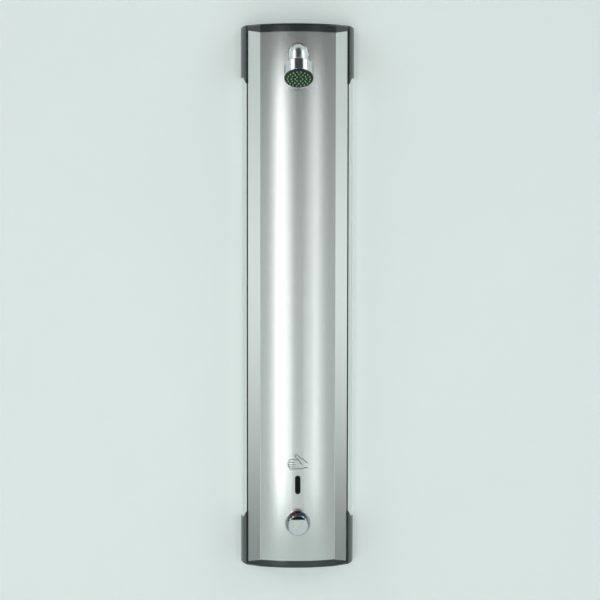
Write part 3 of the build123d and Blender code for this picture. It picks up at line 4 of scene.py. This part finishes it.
import bmesh
import bpy
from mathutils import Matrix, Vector


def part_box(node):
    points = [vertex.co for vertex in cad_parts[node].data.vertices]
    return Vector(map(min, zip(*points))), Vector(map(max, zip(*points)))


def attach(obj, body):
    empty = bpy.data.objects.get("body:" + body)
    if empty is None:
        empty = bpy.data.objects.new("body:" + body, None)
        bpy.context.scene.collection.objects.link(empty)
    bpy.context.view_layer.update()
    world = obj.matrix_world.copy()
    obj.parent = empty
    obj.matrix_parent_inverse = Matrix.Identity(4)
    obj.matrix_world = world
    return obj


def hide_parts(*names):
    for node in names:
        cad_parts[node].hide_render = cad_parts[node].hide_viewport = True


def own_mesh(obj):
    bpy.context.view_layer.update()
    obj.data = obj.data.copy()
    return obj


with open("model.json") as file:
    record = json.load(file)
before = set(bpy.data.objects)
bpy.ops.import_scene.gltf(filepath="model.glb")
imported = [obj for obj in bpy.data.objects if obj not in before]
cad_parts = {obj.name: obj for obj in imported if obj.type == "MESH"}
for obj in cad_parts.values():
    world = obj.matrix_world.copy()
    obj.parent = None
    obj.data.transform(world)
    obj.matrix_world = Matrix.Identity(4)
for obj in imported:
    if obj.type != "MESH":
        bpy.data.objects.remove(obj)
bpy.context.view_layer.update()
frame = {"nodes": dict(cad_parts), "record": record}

# Metres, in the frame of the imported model: X across, +Z up, the wall at y = 0, the room towards -Y.
MM = 0.001


# Camera, matched to the photograph


SENSOR_WIDTH = 36.0
LENS = 84.35
CAMERA_PLACE = (-0.075, -3.2, 0.126)
CAMERA_TURN = (90 - 2.41, -0.07, -1.46)


def place_camera():
    """Camera at the photograph's angle: a little left of the panel and above its middle."""
    data = bpy.data.cameras.new("camera")
    data.sensor_width = SENSOR_WIDTH
    data.lens = LENS
    camera = bpy.data.objects.new("camera", data)
    camera.location = CAMERA_PLACE
    camera.rotation_euler = [math.radians(turn) for turn in CAMERA_TURN]
    bpy.context.scene.collection.objects.link(camera)
    bpy.context.scene.camera = camera


place_camera()


# Node helpers


MATERIALS = {}
NOISE_ROUGHNESS = 0.55
# Most of a noise texture's values lie between these two.
NOISE_LOW = 0.3
NOISE_HIGH = 0.7


def start(name):
    """New material, kept under its name: returns its node tree and its Principled shader."""
    material = bpy.data.materials.new(name)
    material.use_nodes = True
    MATERIALS[name] = material
    return material.node_tree, material.node_tree.nodes["Principled BSDF"]


def feed(tree, source, socket):
    """Link a source to a socket, or set the socket where the source is a plain value."""
    if isinstance(source, bpy.types.NodeSocket):
        tree.links.new(source, socket)
    else:
        socket.default_value = source


def noise(tree, across, along, detail=2):
    """Noise over object coordinates, in cycles a metre across (X and Y) and along Z."""
    where = tree.nodes.new("ShaderNodeTexCoord")
    mapping = tree.nodes.new("ShaderNodeMapping")
    mapping.inputs["Scale"].default_value = (across, across, along)
    tree.links.new(where.outputs["Object"], mapping.inputs["Vector"])
    texture = tree.nodes.new("ShaderNodeTexNoise")
    texture.inputs["Scale"].default_value = 1.0
    texture.inputs["Detail"].default_value = detail
    texture.inputs["Roughness"].default_value = NOISE_ROUGHNESS
    tree.links.new(mapping.outputs["Vector"], texture.inputs["Vector"])
    return texture.outputs["Fac"]


def cloudy(tree, scale, detail=2):
    """Noise with one scale along every axis."""
    return noise(tree, scale, scale, detail)


def spread(tree, value, low, high, start_at=NOISE_LOW, end_at=NOISE_HIGH):
    """Value that is stretched so that start_at becomes low and end_at becomes high."""
    span = tree.nodes.new("ShaderNodeMapRange")
    span.inputs["From Min"].default_value = start_at
    span.inputs["From Max"].default_value = end_at
    span.inputs["To Min"].default_value = low
    span.inputs["To Max"].default_value = high
    tree.links.new(value, span.inputs["Value"])
    return span.outputs["Result"]


def counted(tree, rule, first, second=0.0):
    """One sum on a value, with a fixed number or a second value."""
    sum_node = tree.nodes.new("ShaderNodeMath")
    sum_node.operation = rule
    feed(tree, first, sum_node.inputs[0])
    feed(tree, second, sum_node.inputs[1])
    return sum_node.outputs["Value"]


def mixed(tree, factor, first, second, rule="MIX"):
    """Two colours mixed by a factor."""
    mix = tree.nodes.new("ShaderNodeMix")
    mix.data_type = "RGBA"
    mix.blend_type = rule
    for name, source in (("Factor", factor), ("A", first), ("B", second)):
        feed(tree, source, mix.inputs[name])
    return mix.outputs["Result"]


def either(tree, choice, at_zero, at_one):
    """The first shader where the choice is 0 and the second where it is 1."""
    choose = tree.nodes.new("ShaderNodeMixShader")
    tree.links.new(choice, choose.inputs["Fac"])
    tree.links.new(at_zero, choose.inputs[1])
    tree.links.new(at_one, choose.inputs[2])
    return choose.outputs["Shader"]


def tinted(colour, factor):
    """Colour multiplied by a factor."""
    return tuple(min(1.0, part * factor) for part in colour)


def varied_tone(tree, shader, value, colour, darkest, lightest):
    """Base colour that drifts with a noise value between two multiples of a colour."""
    dark, light = (*tinted(colour, darkest), 1), (*tinted(colour, lightest), 1)
    tree.links.new(mixed(tree, spread(tree, value, 0, 1), dark, light), shader.inputs["Base Color"])


def varied_gloss(tree, shader, value, roughness, least, most):
    """Roughness that drifts with a noise value between two multiples of a roughness."""
    tree.links.new(spread(tree, value, roughness * least, roughness * most), shader.inputs["Roughness"])


def bumped(tree, shader, value, strength, distance):
    """Bump from a noise value on a shader."""
    bump = tree.nodes.new("ShaderNodeBump")
    bump.inputs["Strength"].default_value = strength
    bump.inputs["Distance"].default_value = distance
    tree.links.new(value, bump.inputs["Height"])
    tree.links.new(bump.outputs["Normal"], shader.inputs["Normal"])


# Materials


def brushed(name, colour, roughness, anisotropy, streak=1.0, metallic=1.0):
    """Metal brushed up and down: fine streaks along Z, blurred reflections across them."""
    tree, shader = start(name)
    streaks = noise(tree, across=2600, along=14)
    bands = noise(tree, across=480, along=2.5)
    contrast = 0.012 * streak
    tangent = tree.nodes.new("ShaderNodeTangent")
    tangent.direction_type = "RADIAL"
    tangent.axis = "Z"
    tree.links.new(tangent.outputs["Tangent"], shader.inputs["Tangent"])
    shader.inputs["Metallic"].default_value = metallic
    shader.inputs["Anisotropic"].default_value = anisotropy
    varied_tone(tree, shader, bands, colour, darkest=1 - contrast, lightest=1 + contrast)
    varied_gloss(tree, shader, streaks, roughness, least=0.96, most=1.04)
    bumped(tree, shader, streaks, strength=0.02 * streak, distance=0.1 * MM)


def polished(name, colour, roughness):
    """Plated metal with the faint waviness and smears of a polished casting."""
    tree, shader = start(name)
    smears = cloudy(tree, 45)
    shader.inputs["Metallic"].default_value = 1.0
    varied_tone(tree, shader, smears, colour, darkest=0.97, lightest=1)
    varied_gloss(tree, shader, smears, roughness, least=0.7, most=1.4)
    bumped(tree, shader, smears, strength=0.03, distance=0.2 * MM)


def turned(name, colour, roughness):
    """Machined metal with fine tool marks and slight tarnish."""
    tree, shader = start(name)
    tool_marks = cloudy(tree, 1500)
    tarnish = cloudy(tree, 60, detail=3)
    shader.inputs["Metallic"].default_value = 1.0
    varied_tone(tree, shader, tarnish, colour, darkest=0.85, lightest=1.08)
    varied_gloss(tree, shader, tarnish, roughness, least=0.8, most=1.3)
    bumped(tree, shader, tool_marks, strength=0.12, distance=0.1 * MM)


def moulded(name, colour, roughness, depth=0.25, specular=0.5):
    """Moulded plastic or rubber with a fine spark-eroded grain."""
    tree, shader = start(name)
    grain = cloudy(tree, 1100)
    patches = cloudy(tree, 25)
    shader.inputs["Specular IOR Level"].default_value = specular
    varied_tone(tree, shader, patches, colour, darkest=0.9, lightest=1.1)
    varied_gloss(tree, shader, grain, roughness, least=0.9, most=1.1)
    bumped(tree, shader, grain, strength=depth, distance=0.2 * MM)


def glossy(name, colour, roughness=0.06, specular=0.5, coat=0.3):
    """Polished plastic or enamel, with a trace of unevenness."""
    tree, shader = start(name)
    patches = cloudy(tree, 120)
    shader.inputs["Specular IOR Level"].default_value = specular
    shader.inputs["Coat Weight"].default_value = coat
    varied_tone(tree, shader, patches, colour, darkest=0.85, lightest=1.1)
    varied_gloss(tree, shader, patches, roughness, least=0.8, most=1.3)


ALUMINIUM = (0.80, 0.84, 0.82)
brushed("brushed_aluminium", ALUMINIUM, 0.24, anisotropy=0.72)
# Side rails: the cover's aluminium made lighter and part matt, a painted sheen that lights them more than
# their own metal would
brushed("satin_rail", tinted(ALUMINIUM, 1.1), 0.42, anisotropy=0.4, streak=0.5, metallic=0.55)
polished("chrome", (0.68, 0.70, 0.71), 0.045)
polished("elbow_chrome", (0.74, 0.77, 0.78), 0.24)
# Darker chrome for the knob's body and shroud: painted shade that gives their edges a dark outline
polished("knob_chrome_painted_shade", (0.46, 0.50, 0.51), 0.07)
# Lighter chrome for the knob's face plate: a painted highlight over its satin finish
polished("satin_chrome_painted_highlight", (0.94, 0.98, 0.98), 0.24)
polished("chrome_ball", (0.82, 0.83, 0.84), 0.05)
turned("zinc_steel", (0.62, 0.64, 0.66), 0.35)
turned("screw_steel", (0.60, 0.60, 0.61), 0.28)
turned("brass", (0.72, 0.55, 0.26), 0.26)
turned("copper", (0.78, 0.42, 0.29), 0.24)
moulded("seal_rubber", (0.10, 0.11, 0.10), 0.75, specular=0.3)
moulded("grey_moulding", (0.016, 0.026, 0.027), 0.26, depth=0.08, specular=1.0)
moulded("white_plastic", (0.72, 0.72, 0.68), 0.4, depth=0.1)
moulded("dark_plastic", (0.014, 0.018, 0.018), 0.36, depth=0.1)
moulded("black_plastic", (0.018, 0.018, 0.018), 0.45)
moulded("green_silicone", (0.34, 0.90, 0.26), 0.45, depth=0.05)
moulded("grey_box", (0.33, 0.34, 0.34), 0.5)
moulded("black_cable", (0.02, 0.02, 0.02), 0.5, depth=0.1)
moulded("grey_print", (0.030, 0.042, 0.045), 0.5, depth=0.05, specular=0.3)
glossy("black_gloss", (0.002, 0.003, 0.003), specular=0.25, coat=0.0)
glossy("red_mark", (0.62, 0.03, 0.10), 0.2)
glossy("blue_mark", (0.04, 0.20, 0.62), 0.2)
glossy("diode_resin", (0.03, 0.012, 0.04))
glossy("green_board", (0.02, 0.16, 0.06), 0.25)

# These nodes have a chrome that differs from the one of their material slot: the knob's body and shroud take
# a darker chrome as painted shade, and its face plate a lighter one as a painted highlight.
OWN_FINISHES = {
    "head_elbow": "elbow_chrome",
    "knob_body": "knob_chrome_painted_shade",
    "knob_shroud": "knob_chrome_painted_shade",
    "knob_face_plate": "satin_chrome_painted_highlight",
}


def dress_nodes():
    """Each carried-over node takes the finish of its material slot, or the one of its own."""
    slots = {entry["node"]: entry["material_slot"] for entry in frame["record"]["subparts"]}
    for name, node in frame["nodes"].items():
        node.data.materials.clear()
        node.data.materials.append(MATERIALS[OWN_FINISHES.get(name, slots[name])])


dress_nodes()


# Printed pictogram


COVER_DEPTH = -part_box("front_cover")[0].y
COVER_RADIUS = 0.237
ICON_HEIGHT = -0.3662
INK_WIDTH = 1.4 * MM
INK_LIFT = 0.06 * MM
STEPS_BETWEEN = 8
# Lines of the hand, each through a few points across and up from the hand's middle, in millimetres.
HAND_STROKES = (
    # Top of the wrist and the thumb
    ((22.7, -2.6), (18.8, -1.5), (15, 3.1), (11.2, 6.9), (7.4, 7.3), (3.6, 10), (-0.3, 14.2), (-3.7, 16.5),
     (-6, 15), (-6, 11.5), (-3.3, 8.5), (0.5, 5.4), (3.2, 2), (5.8, -2.2), (8.9, -4.9), (11.6, -5.3)),
    # The four fingers, from the top down, the last one with the underside of the wrist
    ((-0.3, 4.7), (-4.1, 3.9), (-8.7, 5), (-13.3, 5.4), (-17.1, 4.3), (-19.4, 1.2), (-18.6, -1.1),
     (-12.5, -1.3), (-7.1, -1.5)),
    ((-19, -1.5), (-22.1, -3.4), (-21.7, -5.7), (-19.4, -6.5), (-14, -6.7), (-5.6, -6)),
    ((-20.5, -6.8), (-21.5, -8.7), (-19.8, -10.8), (-12.5, -11.6), (-4.9, -11)),
    ((-19.8, -11.4), (-18.6, -14.6), (-15.6, -16.4), (-11, -15.8), (-5.6, -16.1), (-1, -15.2), (5.1, -16),
     (9.7, -15.6), (14.3, -13.7), (18.1, -12.9), (21.9, -14.3)),
)


def on_cover(across, height):
    """Point on the ink, just off the convex middle of the cover."""
    sagitta = COVER_RADIUS - math.sqrt(COVER_RADIUS**2 - across**2)
    return Vector((across, -(COVER_DEPTH - sagitta) - INK_LIFT, height))


def smooth_line(points):
    """Points along a smooth curve, a Catmull-Rom spline, through a few points."""
    ends = [points[0]] + points + [points[-1]]
    line = []
    for i in range(1, len(ends) - 2):
        before, here, after, later = ends[i - 1:i + 3]
        for step in range(STEPS_BETWEEN):
            t = step / STEPS_BETWEEN
            line.append(0.5 * (2 * here + (after - before) * t
                               + (2 * before - 5 * here + 4 * after - later) * t**2
                               + (3 * here - before - 3 * after + later) * t**3))
    line.append(points[-1])
    return line


def printed_stroke(mesh, points):
    """Flat ink line along a smooth curve, laid on the cover."""
    line = smooth_line(points)
    rows = []
    for i, point in enumerate(line):
        along = line[min(i + 1, len(line) - 1)] - line[max(i - 1, 0)]
        side = Vector((-along.y, along.x)).normalized() * INK_WIDTH / 2
        rows.append([mesh.verts.new(on_cover(p.x, p.y + ICON_HEIGHT)) for p in (point + side, point - side)])
    for first, second in zip(rows, rows[1:]):
        mesh.faces.new((first[0], first[1], second[1], second[0]))


def print_pictogram():
    """Open hand above the sensor window, drawn as one set of ink lines that face the room."""
    mesh = bmesh.new()
    for stroke in HAND_STROKES:
        printed_stroke(mesh, [Vector(point) * MM for point in stroke])
    bmesh.ops.recalc_face_normals(mesh, faces=mesh.faces)
    for face in mesh.faces:
        if face.normal.y > 0:
            face.normal_flip()
    data = bpy.data.meshes.new("hand_pictogram")
    mesh.to_mesh(data)
    mesh.free()
    data.materials.append(MATERIALS["grey_print"])
    piece = bpy.data.objects.new("hand_pictogram", data)
    bpy.context.scene.collection.objects.link(piece)
    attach(piece, "panel")


print_pictogram()


# Plunger spring, drawn anew as a coiled wire


WIRE_RADIUS = 0.6 * MM
WIRE_SIDES = 8
SPRING_TURNS = 5
SPRING_RINGS = 120


def coiled_wire(low, high):
    """Mesh of a round wire coiled about a line along Y, filling a box."""
    radius = (high.x - low.x) / 2 - WIRE_RADIUS
    start_at = Vector(((low.x + high.x) / 2, high.y - WIRE_RADIUS, (low.z + high.z) / 2))
    run = low.y - high.y + 2 * WIRE_RADIUS
    turn = 2 * math.pi * SPRING_TURNS
    corners = [2 * math.pi * k / WIRE_SIDES for k in range(WIRE_SIDES)]
    mesh = bmesh.new()
    rings = []
    for i in range(SPRING_RINGS + 1):
        angle = turn * i / SPRING_RINGS
        out = Vector((math.cos(angle), 0, math.sin(angle)))
        along = Vector((-radius * turn * out.z, run, radius * turn * out.x)).normalized()
        across = along.cross(out)
        middle = start_at + radius * out + Vector((0, run * i / SPRING_RINGS, 0))
        places = [middle + WIRE_RADIUS * (math.cos(a) * out + math.sin(a) * across) for a in corners]
        rings.append([mesh.verts.new(place) for place in places])
    for first, second in zip(rings, rings[1:]):
        for k in range(WIRE_SIDES):
            following = (k + 1) % WIRE_SIDES
            mesh.faces.new((first[k], first[following], second[following], second[k]))
    mesh.faces.new(rings[0])
    mesh.faces.new(rings[-1])
    bmesh.ops.recalc_face_normals(mesh, faces=mesh.faces)
    for face in mesh.faces:
        face.smooth = len(face.verts) == 4
    data = bpy.data.meshes.new("lift_spring")
    mesh.to_mesh(data)
    mesh.free()
    return data


def fit_spring():
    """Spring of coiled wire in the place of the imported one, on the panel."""
    low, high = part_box("plunger_spring")
    spring = bpy.data.objects.new("lift_spring", coiled_wire(low, high))
    bpy.context.scene.collection.objects.link(spring)
    spring.data.materials.append(MATERIALS["screw_steel"])
    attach(spring, "panel")
    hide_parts("plunger_spring")
    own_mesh(spring)


fit_spring()


# Stage: a pale wall and floor


FLOOR_COLOUR = (0.80, 0.84, 0.83)
FLOOR_HEIGHT = -1.25
FLOOR_SIDE = 1.9
FLOOR_REACH = 6.0
WALL_COLOUR = (0.88, 0.95, 0.93)
WALL_GLOW = 0.25
WALL_GAP = 2 * MM
WALL_SIDE = 4.0
WALL_TOP = 3.0
# The wall is left open behind the back plate, so that light reaches it for the views from behind.
HOLE_SIDE = 0.105
HOLE_TOP = 0.59


def glow(tree, shader, colour, strength):
    """Glow that shows to the camera, in reflections and through glass, and lights nothing else."""
    path = tree.nodes.new("ShaderNodeLightPath")
    seen = counted(tree, "ADD", path.outputs["Is Camera Ray"], path.outputs["Is Glossy Ray"])
    seen = counted(tree, "ADD", seen, path.outputs["Is Transmission Ray"])
    shader.inputs["Emission Color"].default_value = (*colour, 1)
    tree.links.new(counted(tree, "MULTIPLY", seen, strength), shader.inputs["Emission Strength"])


def stage_paint(name, colour, strength=0.0):
    """Matt paint that is only there on the side that faces the room, with a glow where it has a strength."""
    tree, shader = start(name)
    shader.inputs["Roughness"].default_value = 0.8
    shader.inputs["Specular IOR Level"].default_value = 0.1
    varied_tone(tree, shader, cloudy(tree, 3), colour, darkest=0.985, lightest=1)
    if strength:
        glow(tree, shader, colour, strength)
    side = tree.nodes.new("ShaderNodeNewGeometry")
    clear = tree.nodes.new("ShaderNodeBsdfTransparent")
    paint = either(tree, side.outputs["Backfacing"], shader.outputs["BSDF"], clear.outputs["BSDF"])
    tree.links.new(paint, tree.nodes["Material Output"].inputs["Surface"])


def stage_plane(name, corners, paint):
    """One flat quadrilateral of the stage."""
    data = bpy.data.meshes.new(name)
    data.from_pydata(corners, [], [(0, 1, 2, 3)])
    data.materials.append(MATERIALS[paint])
    surface = bpy.data.objects.new(name, data)
    bpy.context.scene.collection.objects.link(surface)


def wall_piece(name, left, right, bottom, top):
    """One rectangle of the wall."""
    corners = ((left, bottom), (right, bottom), (right, top), (left, top))
    stage_plane(name, [(across, WALL_GAP, height) for across, height in corners], "wall_paint")


def floor_piece(name, left, right, near, far):
    """One rectangle of the floor."""
    corners = ((left, near), (right, near), (right, far), (left, far))
    stage_plane(name, [(across, depth, FLOOR_HEIGHT) for across, depth in corners], "floor_paint")


stage_paint("wall_paint", WALL_COLOUR, WALL_GLOW)
stage_paint("floor_paint", FLOOR_COLOUR)
wall_piece("backdrop_left", -WALL_SIDE, -HOLE_SIDE, FLOOR_HEIGHT, WALL_TOP)
wall_piece("backdrop_right", HOLE_SIDE, WALL_SIDE, FLOOR_HEIGHT, WALL_TOP)
wall_piece("backdrop_above", -HOLE_SIDE, HOLE_SIDE, HOLE_TOP, WALL_TOP)
wall_piece("backdrop_below", -HOLE_SIDE, HOLE_SIDE, FLOOR_HEIGHT, -HOLE_TOP)
floor_piece("floor", -FLOOR_SIDE, FLOOR_SIDE, -FLOOR_REACH, FLOOR_REACH)


# Light: two tall softboxes and a soft room


SOFTBOX_DISTANCE = 2.6
SOFTBOX_HEIGHT = -0.06
SOFTBOX_TALL = 1.78


def softbox(name, angle, width, power):
    """Tall softbox at an angle in degrees from the panel's front, positive to the right, aimed at it."""
    data = bpy.data.lights.new(name, "AREA")
    data.shape = "RECTANGLE"
    data.size, data.size_y = width, SOFTBOX_TALL
    data.energy = power
    lamp = bpy.data.objects.new(name, data)
    turn = math.radians(angle)
    lamp.location = (SOFTBOX_DISTANCE * math.sin(turn), -SOFTBOX_DISTANCE * math.cos(turn), SOFTBOX_HEIGHT)
    lamp.rotation_euler = (math.radians(90), 0, turn)
    bpy.context.scene.collection.objects.link(lamp)


softbox("left_softbox", angle=-18, width=0.30, power=6.4)
softbox("right_softbox", angle=21, width=0.24, power=3.3)

# Grey levels of the room by height, where 0 is straight down, 0.5 level and 1 straight up
AHEAD = ((0.25, 0.50), (0.38, 0.42), (0.47, 0.38), (0.50, 0.32), (0.57, 0.12), (0.7, 0.09), (1, 0.08))
BESIDE = ((0.28, 0.6), (0.395, 0.12), (0.42, 0.52), (0.47, 1.0), (0.51, 0.95), (0.58, 0.6), (0.7, 1.7))
# Where the levels ahead give way to those beside, by a direction's sideways part: 0 ahead, 1 at the side
TOWARD_SIDE = ((0.72, 0), (0.84, 1))
# Above this height a direction also counts as sideways, by this share of the height above it
SIDE_FROM_HEIGHT = 0.2
SIDE_SHARE = 0.5
ROOM_TINT = (0.94, 1.0, 0.99)


def ramp_over(tree, value, stops):
    """Grey ramp over a value, from a list of places and levels."""
    ramp = tree.nodes.new("ShaderNodeValToRGB")
    while len(ramp.color_ramp.elements) < len(stops):
        ramp.color_ramp.elements.new(0.5)
    for element, (place, level) in zip(ramp.color_ramp.elements, stops):
        element.position = place
        element.color = (level, level, level, 1)
    tree.links.new(value, ramp.inputs["Fac"])
    return ramp.outputs["Color"]


def room_light(tree):
    """Colour of the room in each direction: darker above the camera and lighter to the sides."""
    where = tree.nodes.new("ShaderNodeTexCoord")
    parts = tree.nodes.new("ShaderNodeSeparateXYZ")
    tree.links.new(where.outputs["Generated"], parts.inputs["Vector"])
    height = parts.outputs["Z"]
    rise = spread(tree, height, 0, 1, start_at=-1, end_at=1)
    lifted = counted(tree, "MAXIMUM", counted(tree, "SUBTRACT", height, SIDE_FROM_HEIGHT), 0.0)
    lifted = counted(tree, "MULTIPLY", lifted, SIDE_SHARE)
    aside = counted(tree, "ADD", counted(tree, "ABSOLUTE", parts.outputs["X"]), lifted)
    ahead, beside = ramp_over(tree, rise, AHEAD), ramp_over(tree, rise, BESIDE)
    grey = mixed(tree, ramp_over(tree, aside, TOWARD_SIDE), ahead, beside)
    return mixed(tree, 1, grey, (*ROOM_TINT, 1), rule="MULTIPLY")


def soft_room():
    """World: the room for the light, and the floor's pale colour to the camera itself."""
    world = bpy.data.worlds.new("room")
    bpy.context.scene.world = world
    world.use_nodes = True
    tree = world.node_tree
    light = tree.nodes["Background"]
    tree.links.new(room_light(tree), light.inputs["Color"])
    pale = tree.nodes.new("ShaderNodeBackground")
    pale.inputs["Color"].default_value = (*FLOOR_COLOUR, 1)
    looked_at = tree.nodes.new("ShaderNodeLightPath").outputs["Is Camera Ray"]
    shown = either(tree, looked_at, light.outputs["Background"], pale.outputs["Background"])
    tree.links.new(shown, tree.nodes["World Output"].inputs["Surface"])


soft_room()
bpy.context.scene.view_settings.view_transform = "Standard"
